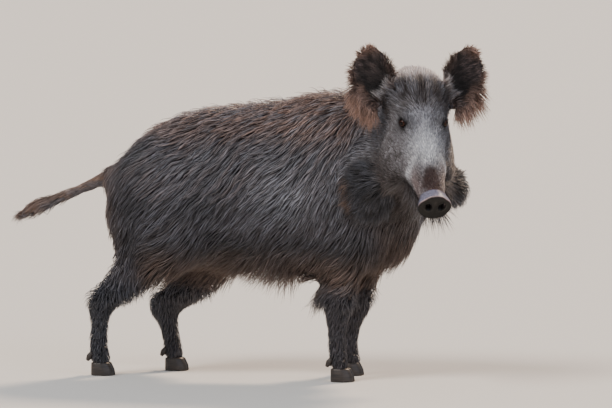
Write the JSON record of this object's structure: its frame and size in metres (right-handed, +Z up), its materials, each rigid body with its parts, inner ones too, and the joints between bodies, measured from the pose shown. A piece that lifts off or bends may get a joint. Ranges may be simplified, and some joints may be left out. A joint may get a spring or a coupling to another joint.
{
  "type": "wild boar",
  "caption": "Life-size standing wild boar with a shaggy dark coat, its long head turned to its right and its tail held out behind.",
  "frame": {"origin": "on the ground, below the middle of the whole model's box", "axes": "+X towards the shoulders along the trunk, +Y to the animal's left, +Z up"},
  "size_m": [1.3068, 0.5196, 0.8893],
  "materials": {
    "coat": "coarse dark hair, matte with a slight sheen",
    "face_hair": "short grizzled hair",
    "ear_hair": "short dark hair with a long fringe",
    "nose_skin": "moist bare skin",
    "eye": "glossy",
    "claw_horn": "worn dark horn"
  },
  "bodies": {
    "root": {"trunk": "coat", "neck": "coat", "head": "face_hair", "tail": "coat", "nose_disc": "nose_skin", "ear_right": "ear_hair", "eye_right": "eye", "ear_left": "ear_hair", "eye_left": "eye", "foreleg_right": "coat", "foreleg_right_claw_right": "claw_horn", "foreleg_right_dewclaw_right": "claw_horn", "foreleg_right_claw_left": "claw_horn", "foreleg_right_dewclaw_left": "claw_horn", "foreleg_left": "coat", "foreleg_left_claw_right": "claw_horn", "foreleg_left_dewclaw_right": "claw_horn", "foreleg_left_claw_left": "claw_horn", "foreleg_left_dewclaw_left": "claw_horn", "hindleg_right": "coat", "hindleg_right_claw_right": "claw_horn", "hindleg_right_dewclaw_right": "claw_horn", "hindleg_right_claw_left": "claw_horn", "hindleg_right_dewclaw_left": "claw_horn", "hindleg_left": "coat", "hindleg_left_claw_right": "claw_horn", "hindleg_left_dewclaw_right": "claw_horn", "hindleg_left_claw_left": "claw_horn", "hindleg_left_dewclaw_left": "claw_horn"}
  },
  "joints": []
}
